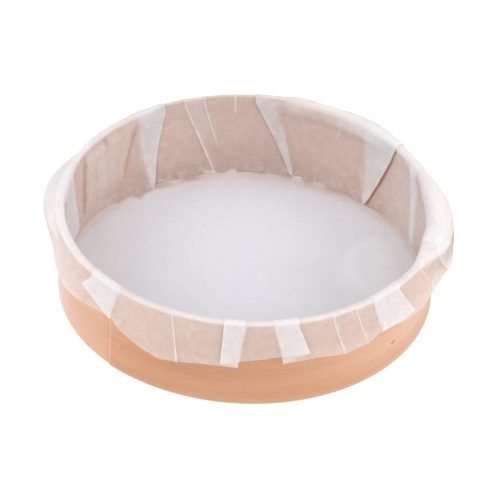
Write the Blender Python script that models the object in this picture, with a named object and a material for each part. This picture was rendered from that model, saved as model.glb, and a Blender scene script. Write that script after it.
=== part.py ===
"""Round bentwood proofing basket with a lift-out liner.

A beech strip is bent into a hoop and closed with a long scarfed lap. A white-faced board is
pegged into its lower edge, and a thin disposable liner is pressed in and folded over the rim.

World frame: metres, +Z up, the hoop's axis is Z, and the underside of the board is Z = 0.
Angles are measured from +X towards +Y. -Y is the front.
"""
import math

import bmesh
import bpy
from mathutils import Matrix

MM = 0.001

# Hoop: one bent strip.
HOOP_RADIUS = 120.0 * MM
HOOP_HEIGHT = 63.0 * MM
STRIP_THICKNESS = 3.0 * MM
STRIP_EDGE_ROUND = 0.5 * MM
HOOP_STEPS = 180

# Scarfed lap: the outer end lies over the inner end and stands a little proud at its tip.
LAP_LENGTH = 50.0 * MM
LAP_TIP_ANGLE = math.radians(227.5)
LAP_TIP_STEP = 0.5 * MM
LAP_TIP_THICKNESS = 0.35 * MM
GLUE_LINE = 0.15 * MM
END_GAP = 0.3 * MM

# Board, set flush with the hoop's lower edge.
BOARD_THICKNESS = 3.5 * MM
BOARD_EDGE_ROUND = 0.3 * MM
FIT_GAP = 0.3 * MM

# Pegs, driven through the hoop into the edge of the board.
PEG_COUNT = 8
PEG_RADIUS = 0.9 * MM
PEG_LENGTH = 11.5 * MM
PEG_POINT = 0.4 * MM
PEG_SEGMENTS = 16
PEG_HOLE_GAP = 0.2 * MM
DRILL_OVERRUN = 2.0 * MM

# Liner: floor, inside wall, fold over the rim, outside skirt.
LINER_THICKNESS = 0.5 * MM
LINER_GAP = 0.4 * MM
LINER_FLOOR_CORNER = 3.0 * MM
LINER_RIM_CORNER = 1.6 * MM
SKIRT_DROP = 28.0 * MM
LINER_STEPS = 96

# Where the folded skirt stands away from the hoop: centre angle, half width and distance.
RIGHT_FLARE = (math.radians(5.0), math.radians(42.0), 6.0 * MM)
LEFT_FLARE = (math.radians(172.0), math.radians(42.0), 5.0 * MM)

BOARD_RADIUS = HOOP_RADIUS - STRIP_THICKNESS - FIT_GAP
LAP_ANGLE = LAP_LENGTH / HOOP_RADIUS

BEECH = (0.70, 0.44, 0.27, 1.0)
WHITE_FACE = (0.86, 0.86, 0.88, 1.0)
PEG_WOOD = (0.62, 0.40, 0.25, 1.0)
LINER_WHITE = (0.88, 0.84, 0.83, 1.0)


def clear_scene():
    for obj in list(bpy.data.objects):
        bpy.data.objects.remove(obj, do_unlink=True)


def make_material(name, colour, roughness):
    mat = bpy.data.materials.new(name)
    mat.use_nodes = True
    shader = mat.node_tree.nodes["Principled BSDF"]
    shader.inputs["Base Color"].default_value = colour
    shader.inputs["Roughness"].default_value = roughness
    shader.inputs["Metallic"].default_value = 0.0
    return mat


def add_empty(name):
    empty = bpy.data.objects.new(name, None)
    bpy.context.scene.collection.objects.link(empty)
    return empty


def add_object(name, mesh, parent=None):
    obj = bpy.data.objects.new(name, mesh)
    bpy.context.scene.collection.objects.link(obj)
    obj.parent = parent
    return obj


def mesh_from_bmesh(bm, name, material=None):
    """Turn a closed bmesh into a smooth-shaded mesh whose sharp corners stay crisp."""
    bmesh.ops.recalc_face_normals(bm, faces=bm.faces)
    mesh = bpy.data.meshes.new(name)
    bm.to_mesh(mesh)
    bm.free()
    mesh.shade_smooth()
    mesh.set_sharp_from_angle(angle=math.radians(35.0))
    if material is not None:
        mesh.materials.append(material)
    return mesh


def polar(radius, angle, height):
    return (radius * math.cos(angle), radius * math.sin(angle), height)


def bridge(bm, ring_a, ring_b, closed):
    """Join two rows of vertices with quads."""
    count = len(ring_a)
    for i in range(count if closed else count - 1):
        j = (i + 1) % count
        bm.faces.new((ring_a[i], ring_a[j], ring_b[j], ring_b[i]))


# ---------------------------------------------------------------- hoop

def strip_stations():
    """Angle, inner radius and outer radius along the strip, from its outer tip to its inner tip."""
    inside = HOOP_RADIUS - STRIP_THICKNESS
    lap_steps = max(4, round(HOOP_STEPS * LAP_ANGLE / math.tau))
    turn_steps = HOOP_STEPS - lap_steps

    def glue_radius(share):
        return HOOP_RADIUS - share * (STRIP_THICKNESS - LAP_TIP_THICKNESS)

    stations = []
    for i in range(lap_steps + 1):
        share = i / lap_steps
        outer = HOOP_RADIUS + LAP_TIP_STEP * (1.0 - share)
        inner = glue_radius(share) + GLUE_LINE
        stations.append((LAP_TIP_ANGLE + share * LAP_ANGLE, inner, outer))

    shoulder = LAP_TIP_ANGLE + LAP_ANGLE + END_GAP / HOOP_RADIUS
    last = LAP_TIP_ANGLE + math.tau
    for i in range(turn_steps + 1):
        angle = shoulder + (last - shoulder) * i / turn_steps
        stations.append((angle, inside, HOOP_RADIUS))

    lap_end = LAP_ANGLE - END_GAP / HOOP_RADIUS
    for i in range(1, lap_steps + 1):
        share = i / lap_steps
        outer = glue_radius(share * lap_end / LAP_ANGLE)
        stations.append((last + share * lap_end, inside, outer))
    return stations


def strip_section(inner, outer):
    """Outline of the strip's cross-section with rounded edges, as radius and height pairs."""
    edge = min(STRIP_EDGE_ROUND, 0.35 * (outer - inner))
    corners = (
        (inner + edge, edge, 180.0),
        (outer - edge, edge, 270.0),
        (outer - edge, HOOP_HEIGHT - edge, 0.0),
        (inner + edge, HOOP_HEIGHT - edge, 90.0),
    )
    outline = []
    for radius, height, start in corners:
        for turn in (0.0, 45.0, 90.0):
            a = math.radians(start + turn)
            outline.append((radius + edge * math.cos(a), height + edge * math.sin(a)))
    return outline


def make_hoop(material, parent):
    bm = bmesh.new()
    rings = []
    for angle, inner, outer in strip_stations():
        section = strip_section(inner, outer)
        rings.append([bm.verts.new(polar(r, angle, z)) for r, z in section])
    for ring_a, ring_b in zip(rings, rings[1:]):
        bridge(bm, ring_a, ring_b, closed=True)
    bm.faces.new(rings[0])
    bm.faces.new(rings[-1])
    return add_object("wall_hoop", mesh_from_bmesh(bm, "wall_hoop", material), parent)


# ---------------------------------------------------------------- board

def make_board(material, parent):
    edge = BOARD_EDGE_ROUND
    profile = (
        (BOARD_RADIUS - edge, 0.0),
        (BOARD_RADIUS, edge),
        (BOARD_RADIUS, BOARD_THICKNESS - edge),
        (BOARD_RADIUS - edge, BOARD_THICKNESS),
    )
    angles = [LAP_TIP_ANGLE + math.tau * i / HOOP_STEPS for i in range(HOOP_STEPS)]
    bm = bmesh.new()
    rings = [[bm.verts.new(polar(r, a, z)) for a in angles] for r, z in profile]
    for ring_a, ring_b in zip(rings, rings[1:]):
        bridge(bm, ring_a, ring_b, closed=True)
    bm.faces.new(rings[0])
    bm.faces.new(rings[-1])
    return add_object("base_board", mesh_from_bmesh(bm, "base_board", material), parent)


# ---------------------------------------------------------------- pegs

def peg_angles():
    """Evenly spaced, with the lap midway between two pegs."""
    spacing = math.tau / PEG_COUNT
    first = LAP_TIP_ANGLE + 0.5 * LAP_ANGLE + 0.5 * spacing
    return [first + i * spacing for i in range(PEG_COUNT)]


def rod_along_x(bm, radius, x_start, x_end, point=0.0):
    """Round rod along X, with an optional tapered point at its start."""
    stations = [(x_start, radius - point), (x_start + point, radius), (x_end, radius)]
    if point == 0.0:
        stations = stations[1:]
    rings = []
    for x, r in stations:
        ring = []
        for i in range(PEG_SEGMENTS):
            a = math.tau * i / PEG_SEGMENTS
            ring.append(bm.verts.new((x, r * math.cos(a), r * math.sin(a))))
        rings.append(ring)
    for ring_a, ring_b in zip(rings, rings[1:]):
        bridge(bm, ring_a, ring_b, closed=True)
    bm.faces.new(rings[0])
    bm.faces.new(rings[-1])
    return [v for ring in rings for v in ring]


def make_pegs(material, parent):
    bm = bmesh.new()
    rod_along_x(bm, PEG_RADIUS, -PEG_LENGTH, 0.0, PEG_POINT)
    mesh = mesh_from_bmesh(bm, "base_peg", material)
    for number, angle in enumerate(peg_angles(), start=1):
        peg = add_object(f"base_peg_{number}", mesh, parent)
        peg.location = polar(HOOP_RADIUS, angle, 0.5 * BOARD_THICKNESS)
        peg.rotation_euler = (0.0, 0.0, angle)


def make_peg_drill():
    """All the peg holes as one cutting body: each runs past the hoop and stops inside the board."""
    bm = bmesh.new()
    for angle in peg_angles():
        verts = rod_along_x(bm, PEG_RADIUS + PEG_HOLE_GAP, -PEG_LENGTH - FIT_GAP, DRILL_OVERRUN)
        place = Matrix.Translation(polar(HOOP_RADIUS, angle, 0.5 * BOARD_THICKNESS))
        place = place @ Matrix.Rotation(angle, 4, "Z")
        bmesh.ops.transform(bm, matrix=place, verts=verts)
    drill = add_object("peg_drill", mesh_from_bmesh(bm, "peg_drill"))
    drill.hide_render = True
    drill.display_type = "WIRE"
    return drill


def cut(obj, cutter):
    modifier = obj.modifiers.new("peg holes", "BOOLEAN")
    modifier.operation = "DIFFERENCE"
    modifier.solver = "EXACT"
    modifier.object = cutter


# ---------------------------------------------------------------- liner

def arc(centre_r, centre_z, radius, start_deg, end_deg, steps):
    """Points along an arc in the radius-height plane, both ends included."""
    points = []
    for i in range(steps + 1):
        a = math.radians(start_deg + (end_deg - start_deg) * i / steps)
        points.append((centre_r + radius * math.cos(a), centre_z + radius * math.sin(a)))
    return points


def liner_path():
    """Middle of the liner's thickness from near the axis to the hem, as radius and height."""
    half = 0.5 * LINER_THICKNESS
    floor_z = BOARD_THICKNESS + FIT_GAP + half
    wall_r = HOOP_RADIUS - STRIP_THICKNESS - LINER_GAP - half
    rim_z = HOOP_HEIGHT + LINER_GAP + half
    skirt_r = HOOP_RADIUS + LAP_TIP_STEP + LINER_GAP + half
    corner = LINER_FLOOR_CORNER
    lip = LINER_RIM_CORNER
    hem_z = HOOP_HEIGHT - SKIRT_DROP

    path = [(0.35 * wall_r, floor_z), (0.7 * wall_r, floor_z)]
    path += arc(wall_r - corner, floor_z + corner, corner, -90.0, 0.0, 4)
    path.append((wall_r, 0.5 * (floor_z + rim_z)))
    path += arc(wall_r + lip, rim_z - lip, lip, 180.0, 90.0, 3)
    path += arc(skirt_r - lip, rim_z - lip, lip, 90.0, 0.0, 3)
    skirt_steps = 5
    top = rim_z - lip
    for i in range(1, skirt_steps + 1):
        path.append((skirt_r, top + (hem_z - top) * i / skirt_steps))
    return path


def offset_path(path, distance):
    """The same path moved sideways by a distance, to the right of its direction of travel."""
    moved = []
    last = len(path) - 1
    for i, (r, z) in enumerate(path):
        r0, z0 = path[max(i - 1, 0)]
        r1, z1 = path[min(i + 1, last)]
        length = math.hypot(r1 - r0, z1 - z0)
        moved.append((r + distance * (z1 - z0) / length, z - distance * (r1 - r0) / length))
    return moved


def bump(angle, centre, half_width):
    """Smooth rise from 0 to 1 and back around a centre angle."""
    away = math.remainder(angle - centre, math.tau) / half_width
    return math.cos(0.5 * math.pi * away) ** 2 if abs(away) < 1.0 else 0.0


def skirt_flare(angle, radius, height):
    """How far the outside skirt stands off the hoop at a point, growing below the rim."""
    if radius < HOOP_RADIUS:
        return 0.0
    drop = (HOOP_HEIGHT - height) / SKIRT_DROP
    drop = min(max(drop, 0.0), 1.0)
    right = RIGHT_FLARE[2] * bump(angle, RIGHT_FLARE[0], RIGHT_FLARE[1]) * drop
    left = LEFT_FLARE[2] * bump(angle, LEFT_FLARE[0], LEFT_FLARE[1]) * math.sin(math.pi * drop)
    return right + left


def make_liner(material, parent):
    half = 0.5 * LINER_THICKNESS
    path = liner_path()
    inner_side = offset_path(path, -half)
    hoop_side = offset_path(path, half)
    section = inner_side + hoop_side[::-1]
    angles = [math.tau * i / LINER_STEPS for i in range(LINER_STEPS)]
    bm = bmesh.new()
    rings = []
    for r, z in section:
        rings.append([bm.verts.new(polar(r + skirt_flare(a, r, z), a, z)) for a in angles])
    for ring_a, ring_b in zip(rings, rings[1:]):
        bridge(bm, ring_a, ring_b, closed=True)
    bm.faces.new(rings[0])
    bm.faces.new(rings[-1])
    return add_object("liner", mesh_from_bmesh(bm, "liner", material), parent)


def main():
    clear_scene()
    beech = make_material("beech", BEECH, 0.5)
    white_face = make_material("white_face", WHITE_FACE, 0.55)
    peg_wood = make_material("peg_wood", PEG_WOOD, 0.6)
    liner_white = make_material("liner_sheet", LINER_WHITE, 0.8)

    basket = add_empty("basket_axis")
    lift = add_empty("liner_lift_axis")
    drill = make_peg_drill()
    hoop = make_hoop(beech, basket)
    board = make_board(white_face, basket)
    cut(hoop, drill)
    cut(board, drill)
    make_pegs(peg_wood, basket)
    make_liner(liner_white, lift)


main()
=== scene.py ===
"""Looks for the round bentwood proofing basket: beech, white-faced board and a pleated liner.

The liner is one thin disc of sheet. It lies on the board, climbs the inside of the hoop in
knife pleats, goes over the rim and hangs outside as a short skirt. Lengths are in millimetres
until a mesh or a node needs metres. Angles are in degrees from +X towards +Y; -Y is the front.
"""

import math

import bpy
import numpy as np
from mathutils import Matrix, Vector


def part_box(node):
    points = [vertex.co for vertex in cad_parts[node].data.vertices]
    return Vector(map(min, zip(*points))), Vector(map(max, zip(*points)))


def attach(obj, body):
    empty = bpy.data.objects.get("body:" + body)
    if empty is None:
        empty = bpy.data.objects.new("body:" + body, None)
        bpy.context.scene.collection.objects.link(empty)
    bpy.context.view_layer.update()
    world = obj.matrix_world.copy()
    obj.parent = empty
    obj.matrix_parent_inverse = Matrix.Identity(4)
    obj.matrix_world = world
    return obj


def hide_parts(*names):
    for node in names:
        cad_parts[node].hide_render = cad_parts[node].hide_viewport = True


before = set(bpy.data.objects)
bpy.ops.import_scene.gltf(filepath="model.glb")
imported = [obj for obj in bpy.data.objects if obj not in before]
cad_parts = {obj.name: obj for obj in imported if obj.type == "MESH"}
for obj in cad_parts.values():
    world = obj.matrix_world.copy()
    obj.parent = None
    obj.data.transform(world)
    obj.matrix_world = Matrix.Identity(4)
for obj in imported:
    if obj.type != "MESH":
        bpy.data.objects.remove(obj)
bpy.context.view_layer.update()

MM = 0.001

# ---------------------------------------------------------------- sizes

# Read from the frame.
hoop_low, hoop_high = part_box("wall_hoop")
board_low, board_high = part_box("base_board")
HOOP_R = 0.5 * (hoop_high[1] - hoop_low[1]) / MM
RIM_Z = hoop_high[2] / MM
BOARD_TOP = board_high[2] / MM

# The strip's thickness, and where the tip of its lap is and how far it stands proud.
STRIP = 3.0
LAP_TIP = 227.5
LAP_STEP = 0.5

# The board's white facing: its radius, how far forward it is set, and how soft and wavy its edge is.
FACING_R = 115.0
FACING_SHIFT = 8.0
FACING_BLUR = 0.3
FACING_WANDER = 1.5


# ---------------------------------------------------------------- camera and light

# In metres and radians, apart from the lens and the sensor.
CAMERA_TARGET = Vector((0.0023, 0.0346, 0.0))
CAMERA_DISTANCE = 2.0
CAMERA_ELEVATION = math.radians(37.7)
CAMERA_ROLL = math.radians(2.87)
LENS_MM = 220.5
SENSOR_MM = 36.0

# Name, place, point that it faces, diameter in metres and power in watts.
SOFTBOXES = (
    ("left_softbox", (-1.7, -0.35, 1.15), (0.0, 0.0, 0.04), 1.2, 13.5),
    ("right_softbox", (1.7, -0.35, 1.15), (0.0, 0.0, 0.04), 1.2, 15.0),
    ("top_softbox", (0.0, 0.15, 2.1), (0.0, 0.0, 0.0), 1.1, 5.0),
    ("front_softbox", (0.0, -2.0, 0.9), (0.0, 0.0, 0.04), 1.0, 7.3),
)
WORLD_STRENGTH = 0.60
FLOOR_HALF_SIDE = 3.0
FLOOR_DROP = 0.1 * MM


def add_camera():
    """Long lens from the front and above, with a small tilt to the side."""
    back = Vector((0.0, -math.cos(CAMERA_ELEVATION), math.sin(CAMERA_ELEVATION)))
    right = Vector((1.0, 0.0, 0.0))
    up = back.cross(right)
    x_axis = right * math.cos(CAMERA_ROLL) + up * math.sin(CAMERA_ROLL)
    y_axis = up * math.cos(CAMERA_ROLL) - right * math.sin(CAMERA_ROLL)
    axes = Matrix((x_axis, y_axis, back)).transposed().to_4x4()
    data = bpy.data.cameras.new("camera")
    data.sensor_width = SENSOR_MM
    data.lens = LENS_MM
    data.clip_start = 0.05
    data.clip_end = 20.0
    camera = bpy.data.objects.new("camera", data)
    camera.matrix_world = Matrix.Translation(CAMERA_TARGET + back * CAMERA_DISTANCE) @ axes
    bpy.context.scene.collection.objects.link(camera)
    bpy.context.scene.camera = camera


def add_softbox(name, place, target, size, power):
    """One round area light that faces its target."""
    data = bpy.data.lights.new(name, "AREA")
    data.shape = "DISK"
    data.size = size
    data.energy = power
    light = bpy.data.objects.new(name, data)
    aim = Vector(target) - Vector(place)
    light.matrix_world = Matrix.Translation(place) @ aim.to_track_quat("-Z", "Y").to_matrix().to_4x4()
    bpy.context.scene.collection.objects.link(light)


def add_studio():
    """White world, four softboxes and a plain pale floor just under the object."""
    scene = bpy.context.scene
    scene.view_settings.view_transform = "Standard"
    scene.view_settings.look = "None"
    world = bpy.data.worlds.new("studio")
    world.use_nodes = True
    background = world.node_tree.nodes["Background"]
    background.inputs["Color"].default_value = (1.0, 1.0, 1.0, 1.0)
    background.inputs["Strength"].default_value = WORLD_STRENGTH
    scene.world = world
    for softbox in SOFTBOXES:
        add_softbox(*softbox)

    side = FLOOR_HALF_SIDE
    mesh = bpy.data.meshes.new("studio_floor")
    corners = [(-side, -side, 0), (side, -side, 0), (side, side, 0), (-side, side, 0)]
    mesh.from_pydata(corners, [], [(0, 1, 2, 3)])
    floor = bpy.data.objects.new("studio_floor", mesh)
    floor.location.z = -FLOOR_DROP
    scene.collection.objects.link(floor)
    mat = bpy.data.materials.new("studio_floor")
    mat.use_nodes = True
    shader = mat.node_tree.nodes["Principled BSDF"]
    shader.inputs["Base Color"].default_value = (0.3, 0.3, 0.3, 1.0)
    shader.inputs["Roughness"].default_value = 0.9
    shader.inputs["Specular IOR Level"].default_value = 0.1
    shader.inputs["Emission Color"].default_value = (1.0, 1.0, 1.0, 1.0)
    shader.inputs["Emission Strength"].default_value = 0.77
    mesh.materials.append(mat)


# ---------------------------------------------------------------- node helpers

class Nodes:
    """Adds nodes to one material and links them."""

    def __init__(self, name):
        self.material = bpy.data.materials.new(name)
        self.material.use_nodes = True
        self.tree = self.material.node_tree
        self.shader = self.tree.nodes["Principled BSDF"]
        self.output = self.tree.nodes["Material Output"]

    def link(self, source, socket):
        if isinstance(source, (int, float, tuple)):
            socket.default_value = source
        else:
            self.tree.links.new(source, socket)

    def math(self, operation, a, b=0.0, c=0.0):
        node = self.tree.nodes.new("ShaderNodeMath")
        node.operation = operation
        for source, socket in zip((a, b, c), node.inputs):
            self.link(source, socket)
        return node.outputs[0]

    def combine(self, x, y, z):
        node = self.tree.nodes.new("ShaderNodeCombineXYZ")
        for source, socket in zip((x, y, z), node.inputs):
            self.link(source, socket)
        return node.outputs[0]

    def object_xyz(self):
        coords = self.tree.nodes.new("ShaderNodeTexCoord")
        split = self.tree.nodes.new("ShaderNodeSeparateXYZ")
        self.link(coords.outputs["Object"], split.inputs[0])
        return split.outputs[0], split.outputs[1], split.outputs[2]

    def noise(self, vector, scale=1.0, detail=3.0, roughness=0.5, distortion=0.0):
        node = self.tree.nodes.new("ShaderNodeTexNoise")
        self.link(vector, node.inputs["Vector"])
        node.inputs["Scale"].default_value = scale
        node.inputs["Detail"].default_value = detail
        node.inputs["Roughness"].default_value = roughness
        node.inputs["Distortion"].default_value = distortion
        return node.outputs["Fac"]

    def ramp(self, factor, stops):
        """Colour ramp; a stop is a position and either a grey level or a colour."""
        node = self.tree.nodes.new("ShaderNodeValToRGB")
        points = node.color_ramp.elements
        while len(points) < len(stops):
            points.new(0.5)
        for point, (position, value) in zip(points, stops):
            point.position = position
            point.color = (value, value, value, 1.0) if isinstance(value, float) else (*value, 1.0)
        self.link(factor, node.inputs[0])
        return node.outputs[0]

    def mix(self, factor, a, b, mode="MIX"):
        node = self.tree.nodes.new("ShaderNodeMix")
        node.data_type = "RGBA"
        node.blend_type = mode
        self.link(factor, node.inputs[0])
        self.link(a if not isinstance(a, tuple) else (*a, 1.0), node.inputs[6])
        self.link(b if not isinstance(b, tuple) else (*b, 1.0), node.inputs[7])
        return node.outputs[2]

    def map_range(self, value, low, high, to_low=0.0, to_high=1.0):
        node = self.tree.nodes.new("ShaderNodeMapRange")
        self.link(value, node.inputs[0])
        for number, socket in zip((low, high, to_low, to_high), node.inputs[1:5]):
            socket.default_value = number
        return node.outputs[0]

    def distance(self, a, b):
        """Length of the vector with these two sides."""
        return self.math("SQRT", self.math("ADD", self.math("MULTIPLY", a, a), self.math("MULTIPLY", b, b)))

    def stretched_noise(self, parts, scales, detail, roughness=0.5):
        """Noise whose vector has each part multiplied by its own scale."""
        scaled = [self.math("MULTIPLY", part, scale) for part, scale in zip(parts, scales)]
        return self.noise(self.combine(*scaled), 1.0, detail, roughness)

    def mix_shader(self, factor, a, b):
        node = self.tree.nodes.new("ShaderNodeMixShader")
        for source, socket in zip((factor, a, b), node.inputs):
            self.link(source, socket)
        return node.outputs[0]

    def bump(self, height, strength, distance):
        node = self.tree.nodes.new("ShaderNodeBump")
        node.inputs["Strength"].default_value = strength
        node.inputs["Distance"].default_value = distance
        self.link(height, node.inputs["Height"])
        return node.outputs[0]


def linear(red, green, blue):
    """Linear colour from 8-bit display values."""
    out = []
    for level in (red, green, blue):
        c = level / 255.0
        out.append(c / 12.92 if c <= 0.04045 else ((c + 0.055) / 1.055) ** 2.4)
    return tuple(out)


# ---------------------------------------------------------------- materials

# Tones for the left and right and the far left are a painted sheen, the lower edge's tone is painted light
# from the floor and the lap edge's tone a painted highlight.
BEECH_SIDE_SHEEN = (linear(225, 183, 160), linear(214, 164, 132))
BEECH_WARM = (linear(211, 161, 126), linear(198, 140, 99))
BEECH_FAR_LEFT_SHEEN = linear(226, 200, 192)
BEECH_FLOOR_BOUNCE_LIGHT = linear(222, 190, 174)
BEECH_FLECKS = linear(150, 98, 66)
BEECH_BESIDE_LAP = linear(176, 120, 86)
BEECH_LAP_EDGE_HIGHLIGHT = linear(246, 216, 194)
BEECH_KNOT = linear(112, 70, 46)

# The small dark knot on the right of the front: angle, height, half-length and half-height, and slant.
KNOT_ANGLE = 321.5
KNOT_Z = 18.0
KNOT_SIZE = (2.0, 0.7)
KNOT_SLANT = 0.9


def beech_tone(n, position, along, depth, bands):
    """Base colour of the strip: warm in front and inside, with a painted sheen making it paler at the left
    and right and most at the far left, and painted light from the floor making it paler at the lower edge.
    """
    x, y, z = position
    # The pale ramp is a painted sheen for the left and right; the warm ramp is the wood in front and inside.
    pale = n.ramp(bands, [(0.34, BEECH_SIDE_SHEEN[0]), (0.66, BEECH_SIDE_SHEEN[1])])
    warm = n.ramp(bands, [(0.34, BEECH_WARM[0]), (0.66, BEECH_WARM[1])])
    aside = n.math("DIVIDE", y, depth)
    front = n.map_range(aside, -1.0, -0.45, 1.0, 0.0)
    lapped = n.map_range(along, -0.752, -0.640, 0.22, 0.0)
    front = n.math("ADD", front, n.math("MULTIPLY", lapped, n.math("LESS_THAN", along, -0.60)))
    middle = (HOOP_R - 0.5 * STRIP) * MM
    inner = n.math("MULTIPLY", n.math("LESS_THAN", depth, middle), 0.45)
    tone = n.mix(n.math("MINIMUM", n.math("ADD", front, inner), 1.2), pale, warm)
    # Painted sheen on the outside at the far left.
    left = n.math("MULTIPLY", n.map_range(aside, -0.46, -0.24), n.map_range(aside, -0.02, 0.6, 1.0, 0.0))
    left = n.math("MULTIPLY", left, n.math("LESS_THAN", x, -0.5 * (HOOP_R - STRIP) * MM))
    left = n.math("MULTIPLY", left, n.math("GREATER_THAN", depth, middle))
    tone = n.mix(left, tone, BEECH_FAR_LEFT_SHEEN)
    # Painted light from the floor on the lower edge.
    return n.mix(n.map_range(z, 0.5 * MM, 5.0 * MM, 0.3, 0.0), tone, BEECH_FLOOR_BOUNCE_LIGHT)


def beech_marks(n, toned, along, z):
    """The lap's end with a painted highlight and a darker line beside it, and the knot."""
    toned = n.mix(n.map_range(along, -0.0035, -0.0002, 0.0, 0.16), toned, BEECH_BESIDE_LAP)
    # Painted highlight on the lap's end.
    from_edge = n.math("ADD", along, math.tau * HOOP_R * MM)
    toned = n.mix(n.map_range(from_edge, 0.0, 0.0011, 0.5, 0.0), toned, BEECH_LAP_EDGE_HIGHLIGHT)
    knot_along = math.radians(KNOT_ANGLE - LAP_TIP - 360.0) * HOOP_R * MM
    u = n.math("DIVIDE", n.math("SUBTRACT", along, knot_along), KNOT_SIZE[0] * MM)
    v = n.math("DIVIDE", n.math("SUBTRACT", z, KNOT_Z * MM), KNOT_SIZE[1] * MM)
    v = n.math("SUBTRACT", v, n.math("MULTIPLY", u, KNOT_SLANT))
    spot = n.math("ADD", n.math("MULTIPLY", u, u), n.math("MULTIPLY", v, v))
    return n.mix(n.map_range(spot, 0.5, 1.3, 0.85, 0.0), toned, BEECH_KNOT)


def beech_material():
    """Plain-sawn beech bent along its grain: long streaks, soft pink and orange bands, short flecks.

    "along" is the distance along the strip from the lap's tip; it runs from minus one turn to 0.
    """
    n = Nodes("beech_strip")
    x, y, z = n.object_xyz()
    angle = n.math("SUBTRACT", n.math("ARCTAN2", y, x), math.radians(LAP_TIP) - math.tau)
    along = n.math("MULTIPLY", n.math("WRAP", angle, 0.0, -math.tau), HOOP_R * MM)
    depth = n.distance(x, y)
    grain = (along, z, depth)
    bands = n.stretched_noise(grain, (5.0, 32.0, 1.0), 2.0)
    streaks = n.stretched_noise(grain, (9.0, 420.0, 300.0), 4.0, 0.6)
    fine = n.stretched_noise(grain, (60.0, 1900.0, 900.0), 2.0)
    dashes = n.stretched_noise(grain, (330.0, 1500.0, 1.0), 1.0, 0.4)

    toned = beech_tone(n, (x, y, z), along, depth, bands)
    toned = n.mix(1.0, toned, n.ramp(streaks, [(0.3, 0.92), (0.55, 1.0), (0.75, 1.04)]), "MULTIPLY")
    toned = n.mix(1.0, toned, n.ramp(fine, [(0.3, 0.965), (0.6, 1.015)]), "MULTIPLY")
    flecks = n.ramp(dashes, [(0.70, 0.0), (0.76, 1.0)])
    toned = n.mix(n.math("MULTIPLY", flecks, 0.35), toned, BEECH_FLECKS)
    toned = beech_marks(n, toned, along, z)

    n.link(toned, n.shader.inputs["Base Color"])
    n.link(n.map_range(streaks, 0.3, 0.7, 0.52, 0.40), n.shader.inputs["Roughness"])
    height = n.math("ADD", n.math("MULTIPLY", streaks, 0.6), n.math("MULTIPLY", fine, 0.4))
    n.link(n.bump(height, 0.25, 0.0003), n.shader.inputs["Normal"])
    n.shader.inputs["Specular IOR Level"].default_value = 0.4
    return n.material


def peg_material():
    """End grain of a small hardwood peg."""
    n = Nodes("peg_end_grain")
    pores = n.noise(n.combine(*n.object_xyz()), 2600.0, 2.0, 0.6)
    tone = n.ramp(pores, [(0.35, linear(206, 158, 126)), (0.65, linear(222, 178, 148))])
    n.link(tone, n.shader.inputs["Base Color"])
    n.link(n.map_range(pores, 0.3, 0.7, 0.7, 0.5), n.shader.inputs["Roughness"])
    n.link(n.bump(pores, 0.3, 0.0002), n.shader.inputs["Normal"])
    return n.material


VENEER = (linear(232, 205, 174), linear(222, 188, 150))
BARE_VENEER = (linear(216, 170, 142), linear(204, 155, 124))
COATING = (linear(232, 235, 245), linear(238, 241, 250))
# Painted shade, pinkish from the wall, for the facing near the left wall.
COATING_LEFT_SHADE = linear(214, 198, 197)


def board_material():
    """Thin board: bare veneer with straight grain, and on top a white facing set a little forward, with
    painted pinkish shade on the facing near the left wall.
    """
    n = Nodes("white_faced_board")
    x, y, z = n.object_xyz()
    grain = n.stretched_noise((x, y, z), (14.0, 420.0, 1.0), 4.0, 0.6)
    broad = n.stretched_noise((x, y, z), (3.0, 40.0, 1.0), 2.0)
    speckle = n.noise(n.combine(x, y, z), 900.0, 3.0)
    veneer = n.ramp(broad, [(0.3, VENEER[0]), (0.7, VENEER[1])])
    veneer = n.mix(1.0, veneer, n.ramp(grain, [(0.3, 0.88), (0.6, 1.02)]), "MULTIPLY")
    bare = n.ramp(broad, [(0.3, BARE_VENEER[0]), (0.7, BARE_VENEER[1])])
    bare = n.mix(1.0, bare, n.ramp(grain, [(0.3, 0.93), (0.6, 1.02)]), "MULTIPLY")
    coating = n.ramp(speckle, [(0.3, COATING[0]), (0.7, COATING[1])])
    # Painted shade on the facing near the left wall.
    coating = n.mix(n.map_range(x, -0.06, -0.112, 0.0, 0.7), coating, COATING_LEFT_SHADE)

    out = n.distance(x, n.math("ADD", y, FACING_SHIFT * MM))
    edge = n.math("ADD", out, n.math("MULTIPLY", n.math("SUBTRACT", broad, 0.5), FACING_WANDER * MM))
    faced = n.map_range(edge, (FACING_R - FACING_BLUR) * MM, (FACING_R + FACING_BLUR) * MM, 1.0, 0.0)
    top = n.map_range(z, 0.4 * MM, 0.9 * MM)
    n.link(n.mix(top, veneer, n.mix(faced, bare, coating)), n.shader.inputs["Base Color"])
    n.link(n.map_range(speckle, 0.3, 0.7, 0.6, 0.5), n.shader.inputs["Roughness"])
    n.link(n.bump(n.math("ADD", grain, speckle), 0.12, 0.0002), n.shader.inputs["Normal"])
    return n.material


def sheet_wisps(n, x, y, z):
    """Thin white creases along the foot of the wall, at the back."""
    ridges = n.noise(n.combine(x, y, n.math("MULTIPLY", z, 1.6)), 95.0, 3.0, 0.6, 1.2)
    ridge = n.map_range(n.math("ABSOLUTE", n.math("SUBTRACT", ridges, 0.5)), 0.0, 0.022, 1.0, 0.0)
    above = n.map_range(z, 6.8 * MM, 8.4 * MM)
    low = n.math("MULTIPLY", above, n.map_range(z, 11.0 * MM, 15.0 * MM, 1.0, 0.0))
    rear = n.map_range(y, 0.045, 0.085, 0.0, 1.0)
    return n.math("MULTIPLY", n.math("MULTIPLY", ridge, low), n.math("MULTIPLY", rear, 1.1))


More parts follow.
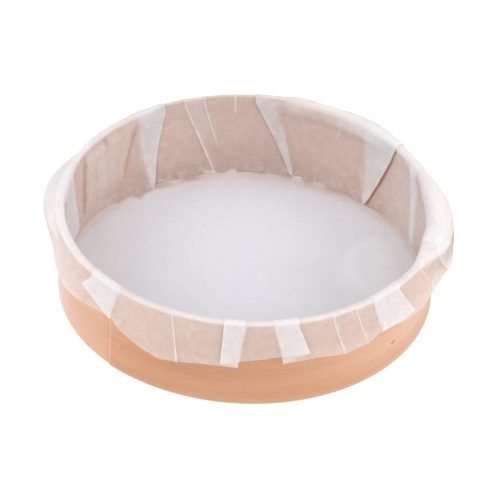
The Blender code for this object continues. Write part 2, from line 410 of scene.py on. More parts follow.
def liner_material():
    """Thin white non-woven sheet: part of the light goes back, part passes through diffusely.

    The mesh attribute "lift_and_painted_shading" is above 0 where the sheet stands off the wood or lies in
    several layers, or where light is painted on, which looks whiter, and below 0 where it lies tight on the
    wood or where shade is painted on.
    """
    n = Nodes("liner_nonwoven")
    x, y, z = n.object_xyz()
    position = n.combine(x, y, z)
    clumps = n.noise(position, 220.0, 4.0, 0.6)
    fibres = n.noise(position, 1300.0, 3.0, 0.7, 1.5)
    web = n.math("ADD", n.math("MULTIPLY", clumps, 0.5), n.math("MULTIPLY", fibres, 0.5))
    contrast = n.map_range(z, 5.0 * MM, 12.0 * MM, 0.45, 1.35)
    web = n.math("ADD", n.math("MULTIPLY", n.math("SUBTRACT", web, 0.5), contrast), 0.5)
    attribute = n.tree.nodes.new("ShaderNodeAttribute")
    attribute.attribute_name = "lift_and_painted_shading"
    lift_and_painted_shading = n.math("ADD", attribute.outputs["Fac"], sheet_wisps(n, x, y, z))

    # Painted shade: below 0 the attribute darkens the colour, blue most and red least.
    dim = n.map_range(lift_and_painted_shading, -1.0, 0.0, 0.74, 1.0)
    shade = n.combine(dim, n.math("POWER", dim, 1.15), n.math("POWER", dim, 1.25))
    colour = n.ramp(web, [(0.35, (0.97, 0.952, 0.957)), (0.65, (1.0, 0.987, 0.992))])
    colour = n.mix(1.0, colour, shade, "MULTIPLY")
    bump = n.bump(web, 0.3, 0.0002)
    n.link(colour, n.shader.inputs["Base Color"])
    n.link(n.map_range(web, 0.35, 0.65, 0.78, 0.62), n.shader.inputs["Roughness"])
    n.link(bump, n.shader.inputs["Normal"])
    n.shader.inputs["Specular IOR Level"].default_value = 0.25
    n.shader.inputs["Sheen Weight"].default_value = 0.08

    through = n.tree.nodes.new("ShaderNodeBsdfTranslucent")
    n.link(colour, through.inputs["Color"])
    n.link(bump, through.inputs["Normal"])
    passed = n.map_range(web, 0.3, 0.7, 0.645, 0.505)
    passed = n.math("SUBTRACT", passed, n.math("MULTIPLY", lift_and_painted_shading, 0.34))
    body = n.mix_shader(passed, n.shader.outputs[0], through.outputs[0])
    clear = n.tree.nodes.new("ShaderNodeBsdfTransparent")
    gaps = n.map_range(web, 0.3, 0.7, 0.19, 0.09)
    gaps = n.math("MULTIPLY", gaps, n.math("SUBTRACT", 1.0, n.math("MULTIPLY", lift_and_painted_shading, 0.8)))
    n.link(n.mix_shader(gaps, body, clear.outputs[0]), n.output.inputs["Surface"])
    return n.material


# ---------------------------------------------------------------- the liner's path

# The sheet's floor, its radius on the wall and outside, the corner at its foot and the fold at the rim.
SHEET_GAP = 0.3
FLOOR_Z = BOARD_TOP + SHEET_GAP
WALL_R = HOOP_R - STRIP - SHEET_GAP
SKIRT_R = HOOP_R + LAP_STEP + SHEET_GAP
CORNER_R = 3.0
RIM_START_Z = RIM_Z - 2.5
RIM_RISE = 3.2
RIM_SQUARENESS = 2 / 3

FLOOR_ROWS = 24
CORNER_ROWS = 5
WALL_ROWS = 36
RIM_ROWS = 15
SKIRT_ROWS = 20


def path_rows():
    """Rows from the middle of the floor to the hem: radius, height, outward normal and progress.

    The normal points away from the wood. Progress is -1 in the middle of the floor, 0 at its edge,
    1 at the rim and 2 at the hem.
    """
    rows = []
    edge = WALL_R - CORNER_R
    for i in range(1, FLOOR_ROWS + 1):
        share = (i / FLOOR_ROWS) ** 0.75
        rows.append((edge * share, FLOOR_Z, 0.0, 1.0, -1.0 + share))
    for i in range(1, CORNER_ROWS + 1):
        a = math.radians(-90.0 + 90.0 * i / CORNER_ROWS)
        r = edge + CORNER_R * math.cos(a)
        z = FLOOR_Z + CORNER_R + CORNER_R * math.sin(a)
        rows.append((r, z, -math.cos(a), -math.sin(a), 0.0))
    low = FLOOR_Z + CORNER_R
    for i in range(1, WALL_ROWS + 1):
        z = low + (RIM_START_Z - low) * (i / WALL_ROWS) ** 1.4
        rows.append((WALL_R, z, -1.0, 0.0, 0.0))
    middle = 0.5 * (WALL_R + SKIRT_R)
    half = 0.5 * (SKIRT_R - WALL_R)
    for i in range(1, RIM_ROWS):
        a = math.pi * (1.0 - i / RIM_ROWS)
        c, s = math.cos(a), math.sin(a)
        r = middle + half * math.copysign(abs(c) ** RIM_SQUARENESS, c)
        z = RIM_START_Z + RIM_RISE * s ** RIM_SQUARENESS
        rows.append((r, z, math.copysign(abs(c) ** 0.8, c), s ** 0.8, 1.0))
    for i in range(SKIRT_ROWS + 1):
        rows.append((SKIRT_R, RIM_START_Z, 1.0, 0.0, 1.0 + i / SKIRT_ROWS))
    table = np.array(rows)
    wall = table[:, 4] == 0.0
    table[wall, 4] = (table[wall, 1] - FLOOR_Z) / (RIM_START_Z - FLOOR_Z)
    return table


# ---------------------------------------------------------------- the pleats

# Skirt length in millimetres at angles around the hoop. It jumps where a wide pleat was cut askew.
HEM = (
    (-11, 25), (-6, 24.5), (2, 25), (14, 27), (26, 28), (40, 29), (60, 27), (76, 30), (100, 27), (115, 31),
    (132, 27), (150, 29), (170, 30), (186, 32), (198, 34), (206.6, 30.5), (212.7, 27.8), (218, 24.5),
    (221.3, 22), (226.5, 20), (228.6, 21), (230, 25.5), (234, 28.5), (240, 32), (246, 34.5), (251, 32.5),
    (258, 30.2), (265.6, 29.1), (269, 30), (269.6, 25), (275, 23.6), (281.5, 21.8), (282.2, 27.5),
    (288.7, 25.8), (295, 27.5), (301.5, 29.5), (311, 28), (314.5, 24.5), (316, 24), (329.8, 30.3),
    (336, 33), (341, 33), (345, 28.5),
)


class Pleat:
    """One knife pleat: where it runs, how wide it is, and which way its free edge faces.

    angles and widths are given at the floor's edge, the rim, half-way down the skirt and the hem.
    side is -1 if the free edge is on the side of the lower angles, +1 if on the other.
    lifts is how far the free edge stands off half-way up the wall, at the rim and at the hem.
    roll is how high and how wide the top layer's slope back to the wood is.
    edge is the skirt's length at the free edge.
    white is how much whiter the three layers look, or a pair for the floor and the rim.
    start is the progress where the pleat begins.
    fade is the share of the whiteness that is left at the far side of the top layer.
    """

    def __init__(self, angles, widths, side, lifts, roll, edge, white=0.42, start=0.0, fade=1.0):
        self.angles = angles
        self.widths = widths
        self.side = side
        self.lifts = lifts
        self.roll = roll
        self.edge = edge
        self.white = white if isinstance(white, tuple) else (white, white)
        self.start = start
        self.fade = fade


STAGES = (0.0, 1.0, 1.5, 2.0)

PLEATS = (
    Pleat((20.5, 25.3, 25, 26), (6, 8, 10, 11), 1, (0.5, 0.2, 0.9), (1.0, 5.0), 28),
    Pleat((47.5, 42.5, 42, 42), (1, 26, 26, 27), -1, (2.0, 0.3, 0.8), (1.2, 7.0), 27, fade=0.9),
    Pleat((65.5, 59, 58, 58), (0.4, 1.0, 0.8, 1.0), -1, (0.25, 0.05, 0.2), (0.1, 1.2), 28, 0.4, 0.6),
    Pleat((74.5, 86.3, 87, 88), (1, 12.5, 13, 14), 1, (0.45, 0.2, 0.8), (1.0, 6.0), 27, (0.1, 0.36),
          fade=0.4),
    Pleat((95, 96, 96, 96), (0.2, 1.2, 0.9, 1.0), -1, (0.1, 0.1, 0.3), (0.1, 1.2), 28, 0.4, 0.72),
    Pleat((98.2, 106.2, 107, 108), (0.6, 1.0, 1.0, 1.2), -1, (0.15, 0.1, 0.3), (0.1, 1.2), 29, 0.15, 0.3),
    Pleat((102.0, 112.7, 113.5, 114), (0.8, 1.8, 2.0, 2.0), 1, (0.3, 0.15, 0.4), (0.15, 1.6), 30, 0.25),
    Pleat((126.2, 125.3, 126, 126), (1, 22, 24, 25), -1, (0.5, 0.2, 0.8), (1.3, 7.0), 27, fade=0.65),
    Pleat((168.1, 173.8, 173.5, 174), (24, 26, 24, 22), -1, (0.8, 0.4, 1.0), (0.8, 5.0), 31, 0.6),
    Pleat((227, 225.1, 223.6, 222.1), (1, 23, 23.5, 24), -1, (0.3, 0.15, 0.8), (0.2, 2.0), 10),
    Pleat((249.5, 249.5, 250.5, 251.5), (0.2, 0.7, 0.9, 1.0), 1, (0.1, 0.1, 0.3), (0.1, 1.2), 33, 0.13),
    Pleat((268, 267.8, 267.2, 266.8), (1, 12, 10.5, 9.8), -1, (0.3, 0.2, 0.9), (0.3, 2.0), 26.5),
    Pleat((282.5, 283.0, 284.6, 286), (1, 14, 14.5, 15), 1, (0.3, 0.2, 0.7), (0.3, 2.0), 20.8),
    Pleat((297, 297, 299, 301.5), (0.2, 0.7, 0.8, 0.9), -1, (0.1, 0.1, 0.2), (0.1, 1.2), 29.5, 0.14),
    Pleat((304, 304.7, 307, 309.5), (0.2, 0.5, 0.6, 0.6), 1, (0.1, 0.05, 0.1), (0.1, 1.0), 28.4, 0.08),
    Pleat((315, 316.3, 319, 322), (1, 21, 25, 28), 1, (0.3, 0.2, 0.8), (0.3, 2.0), 24.8),
    Pleat((333, 333, 339, 344), (0.2, 0.6, 0.8, 1.0), 1, (0.1, 0.05, 0.2), (0.1, 1.0), 29.6, 0.2),
    Pleat((351, 346.7, 349.4, 353), (1, 17, 16, 15), -1, (0.2, 0.0, 2.2), (0.3, 3.0), 23),
)

# Columns along one pleat: the layer on the wood, the first turn, the middle layer, the free edge,
# the top layer and the slope back down.
BASE_COLUMNS = 12
TURN_COLUMNS = 6
MIDDLE_COLUMNS = 6
TOP_COLUMNS = 8
SLOPE_COLUMNS = 6
FOLD_COLUMNS = BASE_COLUMNS + 2 * TURN_COLUMNS + MIDDLE_COLUMNS + 1 + TOP_COLUMNS + 1 + SLOPE_COLUMNS

# Distance between the columns of the plain sheet; it is smaller on the left of the wall and at the back.
PLAIN_SPACING = 2.3
BACK_SPACING = 1.1

# A tight turn reaches this far past the free edge at most, and a shadow is painted on the layer on the wood,
# this far out from the free edge along a line this wide.
TURN_REACH = 0.4
EDGE_SHADOW_OFFSET = 0.6
EDGE_SHADOW_WIDTH = 2.0


def lerp(a, b, share):
    """Straight mix from a to b."""
    return a + (b - a) * share


def smooth(x):
    """Smooth step from 0 to 1 while x goes from 0 to 1."""
    x = np.clip(x, 0.0, 1.0)
    return x * x * (3.0 - 2.0 * x)


def wrapped(degrees, centre):
    """Angle from a centre, between -180 and 180."""
    return (degrees - centre + 180.0) % 360.0 - 180.0


def hem_length(degrees):
    """Skirt length at each angle."""
    angles, lengths = np.array(HEM).T
    return np.interp((np.asarray(degrees) + 12.0) % 360.0 - 12.0, angles, lengths, period=360.0)


def pleat_slope(pleat, width):
    """How wide the top layer's slope back to the wood is where the pleat has this width."""
    return min(pleat.roll[1], 0.6 * width + 0.6)


def reaches(pleat, stage):
    """Half-width of a pleat's window on each side of its centre, in millimetres, for one stage."""
    width = pleat.widths[stage]
    return 0.5 * width, 0.5 * width + pleat_slope(pleat, width)


def fold_profile(width, slope, layer, lift, roll, hems, fade):
    """Sideways place, distance from the wood, skirt length and whiteness of each column across a pleat.

    hems holds the skirt's length beside the pleat, at the turn, at the free edge and on the far side.
    """
    half = 0.5 * width
    reach = half + slope
    start, near, free, far = hems
    side, away, hem, white = [], [], [], []

    def add(x, o, h, w=0.0):
        side.append(x)
        away.append(o)
        hem.append(h)
        white.append(w)

    for i in range(BASE_COLUMNS):
        share = i / BASE_COLUMNS
        x = lerp(-reach, -half, 2.0 * share) if share < 0.5 else lerp(-half, half, 2.0 * share - 1.0)
        # Painted shadow on the layer on the wood beside the free edge.
        edge_shadow = max(0.0, 1.0 - abs(x + half + EDGE_SHADOW_OFFSET) / EDGE_SHADOW_WIDTH)
        add(x, 0.0, lerp(start, near, (x + reach) / (half + reach)), -edge_shadow)
    for i in range(TURN_COLUMNS):
        a = math.pi * ((i + 0.5) / TURN_COLUMNS - 0.5)
        add(half + 0.5 * layer * math.cos(a), 0.5 * layer * (1.0 + math.sin(a)), near)
    for i in range(MIDDLE_COLUMNS + 1):
        share = i / MIDDLE_COLUMNS
        add(lerp(half, -half, share), layer + 0.55 * lift * share ** 2, lerp(near, free, share))
    low = layer + 0.55 * lift
    high = 2.0 * layer + lift
    turn = 0.5 * (high - low)
    for i in range(TURN_COLUMNS):
        a = math.pi * ((i + 0.5) / TURN_COLUMNS - 0.5)
        add(-half - min(turn, TURN_REACH) * math.cos(a), low + turn * (1.0 + math.sin(a)), free, 1.0)
    for i in range(TOP_COLUMNS + 1):
        share = i / TOP_COLUMNS
        hump = 2.0 * layer + lift * (1.0 - share) ** 2 + roll * float(smooth(share))
        add(lerp(-half, half, share), hump, lerp(free, far, share), lerp(1.0, fade, share))
    for i in range(1, SLOPE_COLUMNS + 1):
        share = i / SLOPE_COLUMNS
        down = 1.0 - float(smooth(share))
        add(lerp(half, reach, share), (2.0 * layer + roll) * down, far, fade * down)
    return np.array(side), np.array(away), np.array(hem), np.array(white)


def pleat_row(pleat, progress):
    """Angles, offsets, skirt lengths and whiteness of one pleat's columns on one row."""
    p = max(progress, 0.0)
    centre = float(np.interp(p, STAGES, pleat.angles))
    width = float(np.interp(p, STAGES, pleat.widths))
    slope = pleat_slope(pleat, width)
    layer = float(np.interp(p, (0.0, 0.3, 1.0, 2.0), (0.12, 0.22, 0.18, 0.32)))
    layer *= min(1.0, 0.3 + 0.1 * pleat.widths[1])
    wall, rim, hem_lift = pleat.lifts
    lift = float(np.interp(p, (0.0, 0.55, 0.95, 1.1, 2.0), (0.15 * wall, wall, rim, rim, hem_lift)))
    rolled = np.interp(p, (0.0, 0.5, 0.9, 1.0, 1.2, 2.0), (0.0, 0.6, 0.9, 0.2, 0.15, 0.3))
    roll = pleat.roll[0] * float(rolled)
    low_side = pleat.angles[3] - math.degrees(0.5 * pleat.widths[3] / SKIRT_R)
    high_side = pleat.angles[3] + math.degrees(0.5 * pleat.widths[3] / SKIRT_R)
    outer = math.degrees(slope / SKIRT_R)
    if pleat.side < 0:
        ends = (low_side - outer, high_side - 0.4, high_side + outer)
    else:
        ends = (high_side + outer, low_side + 0.4, low_side - outer)
    start, near, far = hem_length(ends)
    hems = (start, near, pleat.edge, far)
    fade = lerp(pleat.fade, 1.0, float(smooth((p - 0.95) / 0.1)))
    side, away, hem, white = fold_profile(width, slope, layer, lift, roll, hems, fade)
    reach = reaches(pleat, 0)[1]
    spread = np.linspace(-reach, reach, FOLD_COLUMNS)
    if pleat.side > 0:
        side, away, hem, white = -side[::-1], away[::-1], hem[::-1], white[::-1]
    folded = float(smooth((progress - pleat.start + 0.02) / (0.12 + 0.3 * pleat.start)))
    side = lerp(spread, side, folded)
    layered = float(np.interp(p, (0.0, 1.0), pleat.white))
    # Strength of the painted shadow beside the free edge.
    edge_shadow = (0.5 * wall - 0.03) * min(1.0, 0.08 * pleat.widths[1])
    white = white * folded * np.where(white > 0.0, layered, edge_shadow)
    return centre + np.degrees(side / WALL_R), away * folded, hem, white


def plain_counts():
    """How many plain columns lie between each pleat and the next."""
    counts = []
    for i, pleat in enumerate(PLEATS):
        other = PLEATS[(i + 1) % len(PLEATS)]
        gap = math.radians((other.angles[1] - pleat.angles[1]) % 360.0) * WALL_R
        gap -= reaches(pleat, 1)[1] + reaches(other, 1)[1]
        spacing = BACK_SPACING if 55.0 < pleat.angles[1] < 165.0 else PLAIN_SPACING
        counts.append(max(2, round(gap / spacing)))
    return counts


PLAIN_COUNTS = plain_counts()


def hem_edge(pleat, side):
    """Angle at the hem, 1 mm beyond the pleat on the side of the lower (-1) or higher (+1) angles."""
    return pleat.angles[3] + side * math.degrees((0.5 * pleat.widths[3] + 1.0) / SKIRT_R)


def sheet_row(progress):
    """Angle, layer offset, skirt length and whiteness of each column on one row."""
    folds = [pleat_row(pleat, progress) for pleat in PLEATS]
    parts = []
    for i, fold in enumerate(folds):
        following = (i + 1) % len(PLEATS)
        turn = 360.0 if following == 0 else 0.0
        share = np.arange(1, PLAIN_COUNTS[i] + 1) / (PLAIN_COUNTS[i] + 1)
        plain = lerp(fold[0][-1], folds[following][0][0] + turn, share)
        hem_low = hem_edge(PLEATS[i], 1)
        hem_high = hem_edge(PLEATS[following], -1) + turn
        length = hem_length(lerp(hem_low, hem_high, share))
        parts += [fold, (plain, np.zeros_like(share), length, np.zeros_like(share))]
    return [np.concatenate(values) for values in zip(*parts)]


def sheet_columns(rows):
    """Angle, layer offset, skirt length and whiteness of each column on each row, as four tables."""
    return [np.array(table) for table in zip(*(sheet_row(progress) for progress in rows[:, 4]))]


# ---------------------------------------------------------------- how the sheet stands off the wood

class Waves:
    """Smooth random field around the hoop, the same on every run."""

    def __init__(self, seed, turns, rises, count=10):
        rng = np.random.default_rng(seed)
        self.turn = rng.integers(turns[0], turns[1] + 1, count)
        self.rise = rng.uniform(rises[0], rises[1], count)
        self.phase = rng.uniform(0.0, math.tau, count)
        self.scale = 1.0 / math.sqrt(count / 2.0)

    def at(self, degrees, height):
        total = np.zeros(np.broadcast(degrees, height).shape)
        for turn, rise, phase in zip(self.turn, self.rise, self.phase):
            total = total + np.sin(turn * np.radians(degrees) + rise * height + phase)
        return total * self.scale


def window(degrees, low, low_full, high_full, high):
    """Smooth rise from low to low_full, 1 in between, and smooth fall from high_full to high."""
    centre = 0.5 * (low_full + high_full)
    a = wrapped(degrees, centre)
    rise = smooth((a - (low - centre)) / (low_full - low))
    fall = smooth((a - (high_full - centre)) / (high - high_full))
    return rise * (1.0 - fall)


# Valleys between the soft pulls on the left of the wall: angle at the rim, depth of their painted shade and
# lowest progress.
VALLEYS = (
    (131.0, 0.55, 0.25), (138.5, 0.2, 0.50), (145.7, 0.7, 0.74), (151.5, 0.2, 0.40), (158.0, 0.6, 0.10),
)
VALLEY_WIDTH = 1.1
LEAN = 5.5

# How far the sheet stands off: the swell and the ridges of the pulls and the head of the swell, the
# way it bridges the rim at the back, right and left, the flares of the skirt, and how loose it hangs.
SWELL = 1.9
RIDGE = 0.9
SWELL_HEAD = 0.9
BACK_BRIDGE = 1.9
RIGHT_BRIDGE = 3.4
LEFT_BRIDGE = 0.3
RIGHT_FLARE = 10.8
LEFT_FLARE = 8.8
LOOSENESS = 1.4


def pulls(degrees):
    """One broad swell and the rounded ridges on it, between the valleys."""
    edges = np.array([valley_shade[0] for valley_shade in VALLEYS])
    i = np.clip(np.searchsorted(edges, degrees, side="right") - 1, 0, len(edges) - 2)
    share = np.clip((degrees - edges[i]) / (edges[i + 1] - edges[i]), 0.0, 1.0)
    inside = (degrees > edges[0]) & (degrees < edges[-1])
    whole = np.clip((degrees - edges[0]) / (edges[-1] - edges[0]), 0.0, 1.0)
    return inside * np.sin(np.pi * whole) ** 0.5, inside * np.sin(np.pi * share) ** 0.8


def leaning(degrees, progress):
    """Angle of a pull at the rim for a place on the wall: the one beside the pleat leans outwards."""
    lean = LEAN * np.clip((0.97 - progress) / 0.6, 0.0, 1.0)
    return degrees - lean * window(degrees, 127.0, 131.0, 138.0, 144.0)


def valley_shade_depth(degrees, progress):
    """Depth of the painted shade along the lines of the valleys at each place."""
    deepest = np.zeros(np.broadcast(degrees, progress).shape)
    place = leaning(degrees, progress)
    for angle, depth, low in VALLEYS:
        line = depth * np.exp(-((place - angle) / VALLEY_WIDTH) ** 2) * smooth((progress - low) / 0.25)
        deepest = np.maximum(deepest, line * (1.0 - smooth((progress - 0.97) / 0.05)))
    return deepest


def flares(degrees, drop):
    """How far the skirt stands out on the right, where it arches, and on the left, high up."""
    arch = (1.0 - (1.0 - drop) ** 5) * (1.0 - 0.12 * drop)
    right = RIGHT_FLARE * window(degrees, -22.0, -4.0, 7.0, 44.0) * arch
    rising = 1.0 - (1.0 - drop / 0.25) ** 3
    hugging = np.where(drop < 0.25, rising, 1.0 - 0.75 * smooth((drop - 0.3) / 0.7))
    left = LEFT_FLARE * window(degrees, 144.0, 168.0, 176.0, 202.0) * hugging
    return right, left


def bridging(degrees, height):
    """How far the sheet bridges the corner between the wall and the rim."""
    back = BACK_BRIDGE + 0.5 * Waves(14, (9, 17), (0.0, 0.02), 6).at(degrees, height)
    bridge = back * window(degrees, 18.0, 48.0, 76.0, 84.0)
    bridge = bridge + RIGHT_BRIDGE * window(degrees, -30.0, -14.0, 10.0, 26.0)
    return bridge + LEFT_BRIDGE * window(degrees, 158.0, 168.0, 184.0, 206.0)


def stand_off(rows, degrees):
    """Distance of the sheet's lowest layer from its neutral path, and how much of that shows as whiter
    sheet.
    """
    progress = rows[:, 4][:, None]
    height = rows[:, 1][:, None]
    broad = Waves(11, (3, 9), (0.02, 0.09)).at(degrees, height)
    small = Waves(12, (14, 40), (0.05, 0.25), 16).at(degrees, height)
    drift = Waves(13, (4, 8), (0.01, 0.03), 6).at(degrees, height)

    wall = smooth(progress / 0.2) * (1.0 - smooth((progress - 0.93) / 0.1))
    inside = wall * (0.15 + 0.35 * np.abs(broad) + 0.10 * (1.0 + small))
    high = smooth((progress - 0.02) / 0.45) * (1.0 - smooth((progress - 0.93) / 0.07))
    swell, ridges = pulls(leaning(degrees % 360.0 + 0.5 * drift, progress))
    pull = high * swell
    inside = inside + SWELL * pull + RIDGE * high * ridges * (1.0 - smooth((progress - 0.62) / 0.28))
    head = window(degrees, 126.0, 136.0, 154.0, 163.0) * smooth((progress - 0.5) / 0.45)
    inside = inside + SWELL_HEAD * head * wall

    bridge = bridging(degrees, height)
    rim = smooth((progress - 0.80) / 0.17) * (1.0 - smooth((progress - 1.0) / 0.4))
    drop = np.clip(progress - 1.0, 0.0, 1.0)
    right, left = flares(degrees, drop)
    loose = LOOSENESS * drop * (1.0 + 0.5 * broad) + 0.12 * (1.0 + small) * smooth(drop / 0.15)

    lifted = rim * bridge + left * (1.0 - 0.8 * smooth((drop - 0.05) / 0.35))
    lifted = lifted + right * (1.0 - smooth((drop - 0.03) / 0.3)) + 0.3 * inside + 0.35 * pull
    return inside + rim * (0.25 + bridge) + right + left + loose, lifted


# How white the sheet is over the rim at angles around the hoop.
RIM_WHITE = (
    (0, 0.9), (30, 0.9), (48, 0.8), (62, 0.7), (80, 0.35), (92, 0.2), (120, 0.25), (132, 0.55),
    (150, 0.75), (165, 0.9), (200, 0.9), (215, 0.65), (330, 0.65), (345, 0.9), (360, 0.9),
)

# How far in from the wall the sheet meets the board, in millimetres, at angles around the hoop.
FOOT = (
    (0, 1.5), (27, 3.0), (45, 5.0), (53, 6.5), (67, 5.0), (80, 8.5), (98, 10.5), (120, 9.5),
    (134, 10.0), (141, 4.0), (155, 2.0), (200, 1.0), (360, 1.5),
)
FOOT_HEIGHT = 45.0
FOOT_START = 60.0

# The patch of the floor that stands up on the right: its middle, radius and height.
PETAL_X = 100.0
PETAL_Y = 15.0
PETAL_R = 33.0
PETAL_RISE = 4.0


def around(table, degrees):
    """Value at each angle of a table that covers the whole turn."""
    angles, values = np.array(table).T
    return np.interp(degrees % 360.0, angles, values)


def foot_shift(radius, height, progress, degrees):
    """How far the sheet is drawn in from the corner between the wall and the board."""
    up = np.clip((height - FLOOR_Z) / FOOT_HEIGHT, 0.0, 1.0)
    edge = WALL_R - CORNER_R
    on_floor = smooth((radius - FOOT_START) / (edge - FOOT_START))
    share = np.where(progress > 0.0, (1.0 - up) ** 2.2, on_floor)
    return around(FOOT, degrees) * share * (progress < 0.9)


def petal_distance(radius, degrees):
    """Distance from the middle of the raised patch on the right of the floor."""
    a = np.radians(degrees)
    return np.hypot(radius * np.cos(a) - PETAL_X, radius * np.sin(a) - PETAL_Y)


def floor_swell(radius, degrees):
    """Height that the floor of the sheet stands up in soft waves, more near its edge."""
    near = smooth((radius - 60.0) / 50.0)
    broad = Waves(21, (2, 5), (0.02, 0.05), 8).at(degrees, radius)
    crumple = Waves(22, (9, 26), (0.05, 0.3), 14).at(degrees, radius)
    edge = np.exp(-((radius - 111.5) / 3.5) ** 2) * (0.6 + 1.6 * window(degrees, 55.0, 75.0, 125.0, 145.0))
    fade = smooth(radius / 40.0)
    petal = PETAL_RISE * (1.0 - smooth((petal_distance(radius, degrees) - PETAL_R) / 8.0))
    petal = petal * (1.0 - smooth((radius - 95.0) / 20.0))
    waves = fade * (0.5 * (1.0 + broad) + near * 0.22 * (1.0 + crumple))
    return petal + 0.3 + waves + edge * np.abs(crumple)


# ---------------------------------------------------------------- how white the sheet looks

# Patch beside the thin creases left of the middle of the back: angle at the floor and at the rim.
PATCH_ANGLES = (101.5, 112.0)


class Place:
    """Where each vertex of the sheet lies before it is lifted off the wood."""

    def __init__(self, rows, degrees, lengths):
        self.progress = rows[:, 4][:, None]
        self.degrees = degrees
        self.turned = degrees % 360.0
        self.height = rows[:, 1][:, None] - np.clip(self.progress - 1.0, 0.0, 1.0) * lengths
        radius = np.repeat(rows[:, 0][:, None], degrees.shape[1], axis=1)
        self.shift = foot_shift(radius, self.height, self.progress, degrees)
        self.radius = radius - self.shift


def shading(place):
    """Whiteness added or taken away in broad zones: painted light on the side walls, painted shade on the
    bulges where the skirt flares, over the back of the rim, along the valleys and where the foot is drawn
    in, and a whiter patch and skirt.
    """
    progress, degrees, turned = place.progress, place.degrees, place.turned
    # Painted light on the side walls.
    side_light = 0.3 * window(degrees, -20.0, 0.0, 30.0, 42.0) + 0.14 * window(turned, 138.0, 150.0, 158.0, 168.0)
    # Painted shade on the bulges where the skirt flares.
    flare_shade = 0.6 * window(degrees, -24.0, -8.0, 8.0, 40.0) + 0.5 * window(turned, 158.0, 166.0, 184.0, 204.0)
    flare_shade = flare_shade * smooth((progress - 1.02) / 0.2) * (1.0 - smooth((progress - 1.5) / 0.45))
    skirt = 0.25 * window(turned, 180.0, 190.0, 206.0, 220.0) * smooth((progress - 1.0) / 0.2)
    # Painted shade over the back of the rim.
    bare = window(turned, 66.0, 84.0, 122.0, 132.0) * smooth((place.height - RIM_Z + 1.0) / 1.0)
    beside = lerp(*PATCH_ANGLES, np.clip(progress, 0.0, 1.0)) - turned
    patch = smooth(beside / 0.8) * (1.0 - smooth((beside - 4.0) / 2.5))
    patch = patch * smooth((progress - 0.25) / 0.75) * (progress < 1.3)
    # Painted shade along the valleys between the pulls and where the foot is drawn in.
    valley_shade = 0.9 * valley_shade_depth(turned, progress)
    cavity_shade = 0.03 * place.shift * (progress > 0.0)
    return side_light * (progress < 0.97) - flare_shade + skirt - 0.5 * bare + 0.28 * patch - valley_shade - cavity_shade


def over_rim(place):
    """Share of each place that lies on the rim's white band; the band is lower at the two ends."""
    rear = window(place.turned, 70.0, 86.0, 120.0, 130.0)
    ends = window(place.turned, 158.0, 168.0, 205.0, 220.0) + window(place.degrees, -35.0, -15.0, 20.0, 40.0)
    return smooth((place.height - RIM_Z + 1.6 - 1.6 * rear + 2.6 * ends) / 1.2)


def along_foot(place):
    """Share of each place in the ragged white edge at the foot of the wall, and its bright crests."""
    turned = place.turned
    torn = Waves(31, (12, 60), (0.1, 0.4), 14).at(place.degrees, place.height)
    ragged = 1.2 * torn * window(turned, 40.0, 70.0, 130.0, 155.0)
    ragged = ragged + 3.0 * window(turned, 80.0, 90.0, 104.0, 112.0)
    above = place.height - FLOOR_Z - 1.2 - ragged
    crest = np.exp(-((above - 0.2) / 0.6) ** 2) * smooth((torn - 0.2) / 0.4)
    crest = crest * window(turned, 50.0, 66.0, 112.0, 124.0)
    on_foot = smooth((place.progress + 0.05) / 0.05)
    return (1.0 - smooth(above / 0.7)) * on_foot, crest * on_foot


def sheet_lift_and_painted_shading(place, lifted, whites):
    """The mesh attribute "lift_and_painted_shading", from -0.9 to 1: whiter where the sheet is lifted,
    layered or folded or where light is painted on, darker where shade is painted on.
    """
    lift_and_painted_shading = 0.8 * smooth((lifted - 0.4) / 3.0)
    lift_and_painted_shading = np.where(whites > 0.0, np.maximum(lift_and_painted_shading, whites), lift_and_painted_shading + whites)
    lift_and_painted_shading = lift_and_painted_shading + shading(place)
    lift_and_painted_shading = lerp(lift_and_painted_shading, np.maximum(lift_and_painted_shading, around(RIM_WHITE, place.degrees)), over_rim(place))
    foot, crest = along_foot(place)
    lift_and_painted_shading = lerp(lift_and_painted_shading, np.maximum(lift_and_painted_shading, 0.42), foot)
    lift_and_painted_shading = np.maximum(lift_and_painted_shading, crest - 0.9 * (crest < 0.05))
    # Painted highlight: the raised patch on the floor is made whiter.
    petal = 1.0 - smooth((petal_distance(place.radius, place.degrees) - PETAL_R) / 6.0)
    return np.clip(lift_and_painted_shading + 0.4 * petal * (place.progress < -0.02), -0.9, 1.0)


# ---------------------------------------------------------------- the liner's mesh

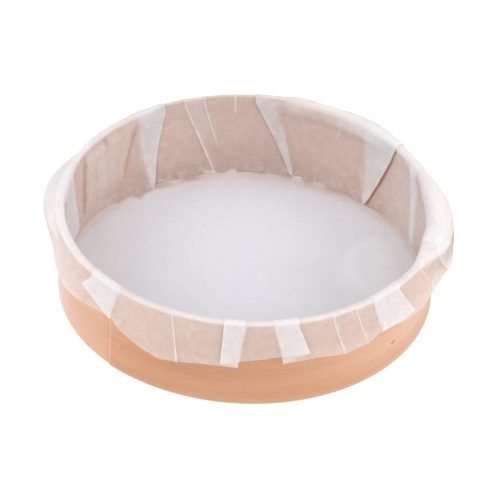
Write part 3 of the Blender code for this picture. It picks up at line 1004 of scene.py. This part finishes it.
def sheet_points(place, rows, off):
    """Vertex places in metres, lifted off the wood and, on the floor, standing up in soft waves."""
    radius = place.radius + off * rows[:, 2][:, None]
    height = place.height + off * rows[:, 3][:, None]
    progress = place.progress
    swell = floor_swell(radius, place.degrees) * (1.0 - smooth(progress / 0.12))
    height = height + np.where(progress <= 0.08, swell, 0.0)
    a = np.radians(place.degrees)
    return np.stack([radius * np.cos(a), radius * np.sin(a), height], axis=2) * MM


def disc_mesh(name, points, middle):
    """Mesh of rings of points round one middle vertex."""
    rings, around_ring = points.shape[:2]
    verts = [middle] + [tuple(point) for point in points.reshape(-1, 3)]
    faces = [(0, 1 + c, 1 + (c + 1) % around_ring) for c in range(around_ring)]
    for r in range(rings - 1):
        here = 1 + r * around_ring
        there = here + around_ring
        for c in range(around_ring):
            d = (c + 1) % around_ring
            faces.append((here + c, there + c, there + d, here + d))
    mesh = bpy.data.meshes.new(name)
    mesh.from_pydata(verts, [], faces)
    mesh.shade_smooth()
    return mesh


def build_liner():
    rows = path_rows()
    degrees, layers, lengths, whites = sheet_columns(rows)
    place = Place(rows, degrees, lengths)
    off, lifted = stand_off(rows, degrees)
    off = np.where(place.progress > 0.0, off, 0.0) + layers
    lift_and_painted_shading = sheet_lift_and_painted_shading(place, lifted, whites)
    mesh = disc_mesh("liner_sheet", sheet_points(place, rows, off), (0.0, 0.0, (FLOOR_Z + 0.6) * MM))
    values = mesh.attributes.new("lift_and_painted_shading", "FLOAT", "POINT")
    values.data.foreach_set("value", np.concatenate([[0.0], lift_and_painted_shading.reshape(-1)]).astype(np.float32))

    liner = bpy.data.objects.new("liner_sheet", mesh)
    bpy.context.scene.collection.objects.link(liner)
    mesh.materials.append(liner_material())
    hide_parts("liner")
    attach(liner, "lift_out_liner")


# ---------------------------------------------------------------- the whole scene

def dress_node(name, material):
    """Gives a CAD node its material."""
    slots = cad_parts[name].data.materials
    slots.clear()
    slots.append(material)


def main():
    add_camera()
    add_studio()
    dress_node("wall_hoop", beech_material())
    dress_node("base_board", board_material())
    pegs = peg_material()
    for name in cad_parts:
        if name.startswith("base_peg"):
            dress_node(name, pegs)
    build_liner()


main()
